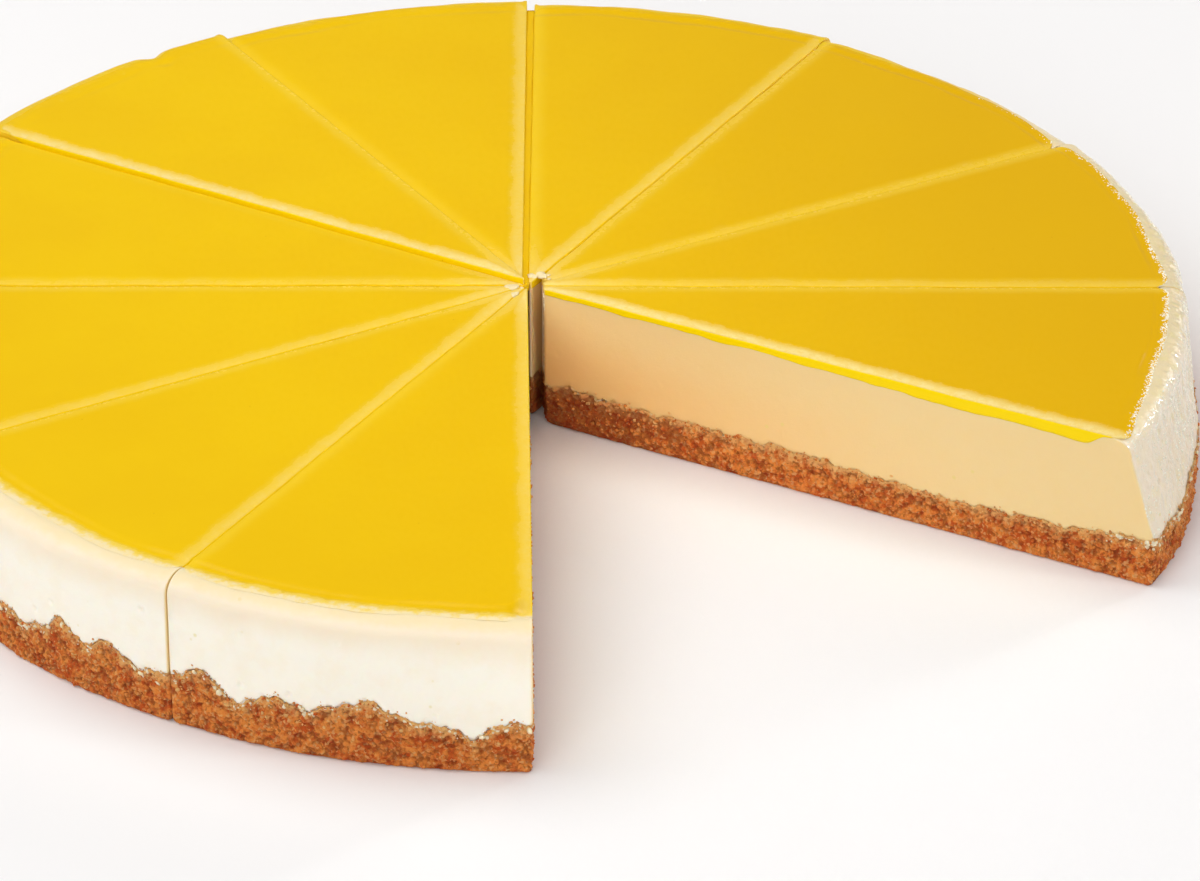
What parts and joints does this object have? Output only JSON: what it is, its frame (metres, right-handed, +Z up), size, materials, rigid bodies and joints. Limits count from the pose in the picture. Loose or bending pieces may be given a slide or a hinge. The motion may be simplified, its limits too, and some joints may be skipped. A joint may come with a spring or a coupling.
{
  "type": "lemon cheesecake cut in slices",
  "caption": "Round lemon cheesecake cut into wedge slices, some of them taken, so the gap shows its layers: crumb base, baked cream filling and glossy yellow topping.",
  "frame": {"origin": "on the axis of the round cake, at the level of the underside of its crumb base", "axes": "+Z up along the cake's axis; the slices that were taken leave a gap that opens towards -Y and +X"},
  "size_m": [0.2846, 0.283, 0.0347],
  "materials": {
    "crumb_base": "matte baked biscuit crumb, grainy",
    "cheese_filling": "smooth, slightly moist baked cream cheese",
    "lemon_topping": "glossy set lemon curd"
  },
  "bodies": {
    "root": {"slice_01_base": "crumb_base", "slice_01_filling": "cheese_filling", "slice_01_topping": "lemon_topping", "slice_02_base": "crumb_base", "slice_02_filling": "cheese_filling", "slice_02_topping": "lemon_topping", "slice_03_base": "crumb_base", "slice_03_filling": "cheese_filling", "slice_03_topping": "lemon_topping", "slice_04_base": "crumb_base", "slice_04_filling": "cheese_filling", "slice_04_topping": "lemon_topping", "slice_05_base": "crumb_base", "slice_05_filling": "cheese_filling", "slice_05_topping": "lemon_topping", "slice_06_base": "crumb_base", "slice_06_filling": "cheese_filling", "slice_06_topping": "lemon_topping", "slice_07_base": "crumb_base", "slice_07_filling": "cheese_filling", "slice_07_topping": "lemon_topping", "slice_08_base": "crumb_base", "slice_08_filling": "cheese_filling", "slice_08_topping": "lemon_topping", "slice_09_base": "crumb_base", "slice_09_filling": "cheese_filling", "slice_09_topping": "lemon_topping", "slice_10_base": "crumb_base", "slice_10_filling": "cheese_filling", "slice_10_topping": "lemon_topping"}
  },
  "joints": []
}
